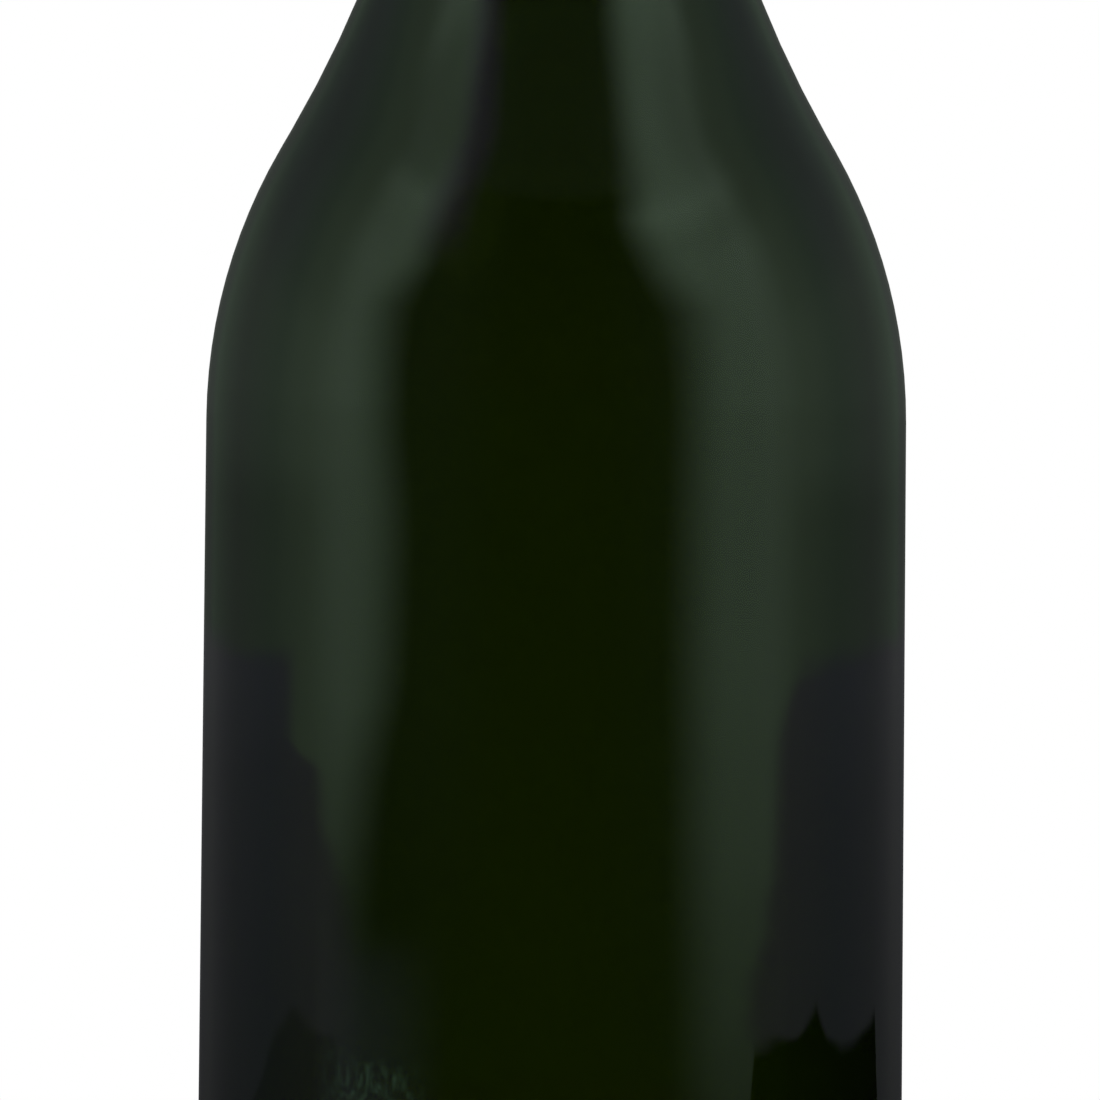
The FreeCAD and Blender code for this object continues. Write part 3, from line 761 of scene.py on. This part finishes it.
# ---------------------------------------------------------------- studio
class Room:
    """The room that the bottle mirrors, as values by direction.

    An azimuth is in degrees from the front, to either side, and an elevation in degrees from the horizon.
    A table is a row of (place, number) stops, and a row of colours has (azimuth, colour) stops.
    """

    def __init__(self, n):
        self.n = n
        split = n.add("ShaderNodeSeparateXYZ")
        n.link(n.add("ShaderNodeTexCoord").outputs["Generated"], split.inputs[0])
        x, y, z = split.outputs
        half_turn = n.math("ARCTAN2", n.math("ABSOLUTE", x), n.math("MULTIPLY", y, -1.0))
        self.azimuth = n.math("MULTIPLY", half_turn, 180 / math.pi)
        self.elevation = n.math("MULTIPLY", n.math("ARCSINE", z), 180 / math.pi)
        self.right = n.math("GREATER_THAN", x, 0.0)
        self.left = n.math("SUBTRACT", 1.0, self.right)

    def round_about(self, *stops):
        return self.n.table(self.azimuth, stops)

    def up_and_down(self, *stops):
        return self.n.table(self.elevation, stops)

    def colours(self, *stops):
        share = self.n.math("DIVIDE", self.azimuth, 180.0)
        return self.n.ramp(share, [(azimuth / 180, colour) for azimuth, colour in stops])

    def from_edge(self, edge, softness):
        """0 in front of an azimuth and 1 behind it, with a soft step."""
        n = self.n
        return n.step(self.azimuth, n.math("SUBTRACT", edge, softness), n.math("ADD", edge, softness))

    def sides(self, right, left):
        return self.n.choose(self.right, right, left)

    def lamp_mask(self):
        """1 on the lamps and behind them, and almost 0 in the dark front between their inner edges."""
        n = self.n
        left_edge = self.up_and_down(
            (-2, 72), (-0.7, 64.5), (-0.2, 59), (0, 56.5), (0.6, 55.5), (2, 58.5),
            (21, 61), (30, 52.5), (42, 53), (47, 50), (52, 53), (57, 56),
        )
        right_edge = self.up_and_down(
            (-2, 48), (0, 46), (4, 47), (21, 48), (30, 38.5),
            (36, 34.5), (42, 32.5), (47, 35.5), (52, 37.5), (58, 41),
        )
        left_soft = self.up_and_down((0, 13), (21, 15), (30, 11), (60, 12))
        right_soft = self.up_and_down((4, 14), (21, 17), (31, 13), (42, 12), (50, 15), (60, 14))
        lamps = self.from_edge(self.sides(right_edge, left_edge), self.sides(right_soft, left_soft))
        return n.math("MAXIMUM", lamps, n.step(self.azimuth, 12.0, 45.0, 0.0, 0.05))

    def gain(self):
        """How bright the lamps and the walls are. The lamps fade out towards the floor."""
        n = self.n
        right_lamp = self.up_and_down(
            (-3.0, 0.1), (-2.0, 0.3), (-1.2, 0.55), (-0.7, 0.65), (0.0, 0.78), (0.5, 0.82), (4.0, 1.0),
            (20, 1.06), (30, 1.14), (35, 1.12), (41, 1.46), (45, 1.26), (50, 1.02), (57, 1.0),
        )
        left_lamp = self.up_and_down(
            (-3.0, 0.1), (-1.7, 0.25), (-1.2, 0.33), (-0.7, 0.56), (-0.2, 0.74), (0.5, 0.8), (4.0, 1.0),
            (30, 1.05), (36, 1.08), (42, 1.18), (47, 0.78), (53, 0.65),
        )
        wall = self.up_and_down(
            (-1, 0.72), (0.7, 0.74), (1.4, 0.98), (4, 1.08), (14, 1.1), (20, 0.98), (38, 0.88)
        )
        gain = n.choose(n.step(self.azimuth, 72.0, 96.0), wall, self.sides(right_lamp, left_lamp))
        # High up, the lamps are narrower.
        narrow = self.sides(
            self.round_about((58, 1.0), (70, 0.8), (86, 0.78), (100, 1.0)),
            self.round_about((62, 1.0), (72, 0.86), (86, 0.85), (100, 1.0)),
        )
        gain = n.math("MULTIPLY", gain, n.choose(n.step(self.elevation, 28.0, 38.0), narrow, 1.0))
        # The wall behind and to the left is a little darker than the one to the right.
        low_wall = self.round_about((95, 1.06), (146, 0.92))
        high_wall = self.round_about((120, 1.0), (146, 0.82))
        left_wall = n.choose(n.step(self.elevation, 8.0, 20.0), high_wall, low_wall)
        return n.math("MULTIPLY", gain, self.sides(1.0, left_wall))

    def walls_and_tables(self):
        """The lamps and walls, round to the back, and two dark table tops to the sides below the horizon."""
        n = self.n
        walls = self.colours(
            (75, (0.76, 0.80, 0.77)),
            (89, (0.48, 0.53, 0.475)),
            (106, (0.275, 0.33, 0.295)),
            (128, (0.170, 0.195, 0.180)),
            (145, (0.130, 0.168, 0.135)),
            (152, (0.117, 0.155, 0.122)),
            (158, (0.092, 0.108, 0.097)),
            (165, (0.070, 0.080, 0.072)),
        )
        tables = self.colours(
            (80, (0.26, 0.19, 0.32)),
            (106, (0.147, 0.13, 0.208)),
            (128, (0.103, 0.098, 0.127)),
            (150, (0.082, 0.082, 0.090)),
            (158, (0.061, 0.062, 0.067)),
            (165, (0.045, 0.046, 0.05)),
        )
        # The table tops reach further in towards the front the lower they are.
        left_edge = self.up_and_down(
            (-1.5, 66), (-1.34, 67), (-1.16, 70), (-0.98, 76), (-0.8, 81.5), (-0.58, 83), (-0.48, 96)
        )
        right_edge = self.up_and_down(
            (-1.95, 72), (-1.7, 67), (-1.52, 68.5), (-1.34, 74), (-1.1, 77), (-0.44, 79), (-0.2, 83), (0, 88)
        )
        over_tables = self.from_edge(self.sides(right_edge, left_edge), 5.0)
        below = n.step(self.elevation, -0.12, 0.04, 1.0, 0.0)
        table_gain = self.up_and_down((-3.0, 0.6), (-1.6, 0.85), (-0.7, 1.0), (-0.2, 1.2))
        return n.mix(
            n.math("MULTIPLY", over_tables, below), n.scaled(walls, self.gain()), n.scaled(tables, table_gain)
        )

    def above_floor(self):
        """1 from a few degrees below the horizon up, and 0 further down, where the floor is."""
        return self.n.step(self.elevation, -5.0, -3.0)

    def black_shapes(self):
        """How much pointed black things, low on both tables, hide of the room. The left one is faint."""
        n = self.n
        right_depth = self.round_about(
            (66, 2.5), (70, 1.88), (88, 1.84), (97, 1.70), (102, 1.86),
            (110, 1.93), (122, 1.88), (133, 1.79), (137, 2.5),
        )
        left_depth = self.round_about((62, 2.5), (76, 1.83), (86, 1.78), (94, 1.76), (104, 1.93), (130, 2.5))
        over_top = n.math("ADD", self.elevation, self.sides(right_depth, left_depth))
        black = n.math("MULTIPLY", self.above_floor(), n.step(over_top, -0.06, 0.04, 1.0, 0.0))
        return n.math("MULTIPLY", black, self.sides(1.0, 0.42))

    def bush(self):
        """A pale bush in a haze, low on the left."""
        n = self.n
        spot = n.add("ShaderNodeCombineXYZ")
        n.link(n.math("MULTIPLY", self.azimuth, 0.35), spot.inputs[0])
        n.link(n.math("MULTIPLY", self.elevation, 18.0), spot.inputs[1])
        leaves = n.step(n.noise(spot.outputs[0], 1.0, 5.0, 0.75), 0.44, 0.66)
        leaves = n.math("MULTIPLY", leaves, self.round_about((40, 0.0), (52, 1.0), (68, 0.9), (82, 0.0)))
        leaves = n.math("MULTIPLY", leaves, n.step(self.elevation, -2.05, -1.85, 1.0, 0.0))
        haze = self.round_about((34, 0.0), (58, 1.0), (68, 1.0), (84, 0.0))
        haze = n.math("MULTIPLY", haze, n.step(self.elevation, -1.8, -1.1, 1.0, 0.0))
        both = n.added(n.tinted((0.42, 0.66, 0.50), leaves), n.tinted((0.12, 0.09, 0.19), haze))
        return n.scaled(both, n.math("MULTIPLY", self.above_floor(), self.left))

    def glow(self):
        """A soft purple glow along the inner edge of the left lamp's upper part."""
        n = self.n
        across = self.round_about((34, 0.0), (45, 1.0), (52, 1.0), (63, 0.0))
        glow = n.math("MULTIPLY", across, n.step(self.elevation, 28.0, 42.0))
        return n.tinted((0.13, 0.03, 0.22), n.math("MULTIPLY", glow, self.left))

    def mirrored(self):
        """The whole room, as a colour by direction."""
        n = self.n
        room = n.mix(self.black_shapes(), self.walls_and_tables(), (0, 0, 0, 1))
        room = n.scaled(room, self.lamp_mask())
        # High up, the walls behind are a little more purple.
        behind = n.math("MULTIPLY", n.step(self.elevation, 12.0, 24.0), n.step(self.azimuth, 98.0, 122.0))
        purple = n.add("ShaderNodeVectorMath", operation="MULTIPLY")
        n.link(room, purple.inputs[0])
        n.link(n.mix(behind, (1, 1, 1, 1), (1.0, 0.95, 1.1, 1)), purple.inputs[1])
        ceiling = n.step(self.elevation, 46.0, 50.0, 0.004, 0.055)
        return n.added(purple.outputs[0], self.glow(), ceiling, self.bush())


def studio_world():
    """The mirrored room, with a plain white background and plain fill light on what is matt."""
    world = bpy.data.worlds.new("studio")
    bpy.context.scene.world = world
    world.use_nodes = True
    n = Nodes(world.node_tree)
    path = n.add("ShaderNodeLightPath")
    # Rays that have gone through glass count as glossy too, and they see the background.
    straight = n.math("SUBTRACT", 1.0, path.outputs["Is Transmission Ray"])
    mirrored = n.math("MULTIPLY", path.outputs["Is Glossy Ray"], straight)
    colour = n.mix(mirrored, (1, 1, 1, 1), Room(n).mirrored())
    colour = n.mix(path.outputs["Is Diffuse Ray"], colour, (0.78, 0.78, 0.78, 1))
    back = n.add("ShaderNodeBackground")
    n.link(colour, back.inputs["Color"])
    n.link(back.outputs[0], n.add("ShaderNodeOutputWorld").inputs["Surface"])


LAMP_PLACE = Vector((-1.1, -1.3, 1.6))
LAMP_AIM = Vector((0.0, 0.0, 0.15))


def key_lamp():
    """One soft lamp, high on the left, that shapes the matt pieces and drops a faint shadow."""
    data = bpy.data.lights.new("key", "AREA")
    data.shape = "DISK"
    data.size = 0.9
    data.energy = 9.0
    lamp = bpy.data.objects.new("key", data)
    lamp.location = LAMP_PLACE
    lamp.rotation_euler = (LAMP_AIM - LAMP_PLACE).to_track_quat("-Z", "Y").to_euler()
    lamp.visible_glossy = False
    bpy.context.scene.collection.objects.link(lamp)


FLOOR_RADIUS = 1.1


def make_floor():
    """A pale round floor that fades into the white background before its edge."""
    made, n, shader, out = material("pale floor")
    shader.inputs["Base Color"].default_value = (0.86, 0.86, 0.85, 1)
    shader.inputs["Roughness"].default_value = 0.7
    shader.inputs["Specular IOR Level"].default_value = 0.0
    length = n.add("ShaderNodeVectorMath", operation="LENGTH")
    n.link(n.place(), length.inputs[0])
    fade = n.step(length.outputs["Value"], FLOOR_RADIUS * 0.25, FLOOR_RADIUS * 0.9)
    clear = n.add("ShaderNodeBsdfTransparent")
    mixed = n.add("ShaderNodeMixShader")
    n.link(fade, mixed.inputs[0])
    n.link(shader.outputs[0], mixed.inputs[1])
    n.link(clear.outputs[0], mixed.inputs[2])
    n.link(mixed.outputs[0], out.inputs["Surface"])
    count = 96
    verts = [(FLOOR_RADIUS * math.cos(a), FLOOR_RADIUS * math.sin(a), 0.0) for a in even_turn(count)]
    mesh = bpy.data.meshes.new("floor")
    mesh.from_pydata(verts, [], [tuple(range(count))])
    mesh.materials.append(made)
    floor = bpy.data.objects.new("floor", mesh)
    floor.location.z = -0.0002
    bpy.context.scene.collection.objects.link(floor)


CAMERA_DISTANCE = 1.5
CAMERA_HEIGHT = 0.1085
VIEW_SIDE = 0.13912  # metres across the square picture at the bottle's axis
VIEW_CENTRE = Vector((-0.00064, 0.0, 0.1169))
ROLL = math.radians(0.51)


def make_camera():
    """A long lens level with the body, aimed at the shoulder's foot. The picture holds the middle of it."""
    data = bpy.data.cameras.new("camera")
    data.sensor_width = 36.0
    data.lens = data.sensor_width * CAMERA_DISTANCE / VIEW_SIDE
    data.clip_start = 0.05
    camera = bpy.data.objects.new("camera", data)
    camera.location = (VIEW_CENTRE.x, -CAMERA_DISTANCE, CAMERA_HEIGHT)
    aim = (VIEW_CENTRE - camera.location).to_track_quat("-Z", "Y").to_matrix()
    camera.rotation_euler = (aim @ Matrix.Rotation(ROLL, 3, "Z")).to_euler()
    bpy.context.scene.collection.objects.link(camera)
    bpy.context.scene.camera = camera


make_camera()
studio_world()
key_lamp()
make_floor()
make_glass(glass_material())
make_wine(wine_material())
make_cork(cork_material())
make_plate(metal_material("plain tinplate", (0.80, 0.79, 0.76), 0.28, 0.00001))
make_cage(metal_material("galvanised wire", (0.70, 0.70, 0.69), 0.34, 0.00002))

bpy.context.scene.view_settings.view_transform = "Standard"
